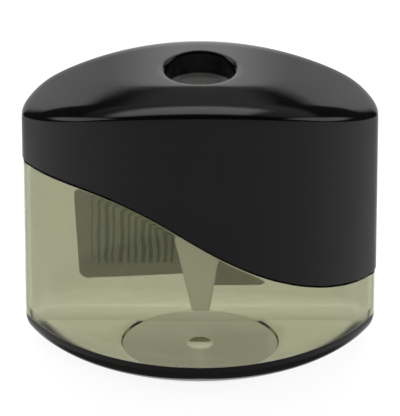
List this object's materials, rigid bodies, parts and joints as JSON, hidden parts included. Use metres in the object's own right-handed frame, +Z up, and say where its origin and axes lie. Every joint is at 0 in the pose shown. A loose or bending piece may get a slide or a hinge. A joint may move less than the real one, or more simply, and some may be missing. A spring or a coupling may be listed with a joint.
{
  "type": "pencil sharpener",
  "caption": "Half-moon pencil sharpener: a black lift-off cap with a round pencil hole over a metal wedge sharpener, and a smoky clear tub for the shavings.",
  "frame": {"origin": "on the ground under the middle of the outer box, at the tub's flat underside", "axes": "+X along the width to the right seen from the front, +Y towards the flat back, +Z up along the pencil's axis"},
  "size_m": [0.046, 0.0203, 0.0407],
  "materials": {
    "smoky_plastic": "clear smoky olive-green moulded plastic, polished, a little scuffed",
    "black_plastic": "black moulded plastic, glossy on the arched top and satin on the sides",
    "cast_magnesium": "dull pale grey die-cast magnesium with graphite specks",
    "blade_steel": "ground carbon steel",
    "screw_steel": "plated steel, slotted head",
    "label_paper": "white self-adhesive paper with plain black bars"
  },
  "bodies": {
    "tub": {"tub": "smoky_plastic", "barcode_label": "label_paper", "price_label": "label_paper"},
    "cap": {"cap": "black_plastic", "sharpener_body": "cast_magnesium", "blade": "blade_steel"},
    "blade_screw": {"blade_screw": "screw_steel"}
  },
  "joints": [
    {"name": "cap_lift", "type": "slide", "parent": "tub", "child": "cap", "axis": [0, 0, 1], "range_m": [0, 0.042]},
    {"name": "screw_turn", "type": "hinge", "parent": "cap", "child": "blade_screw", "pos_m": [-0.00161, 0.00568, 0.01506], "axis": [-0.9781, 0, -0.2079], "continuous": true}
  ]
}
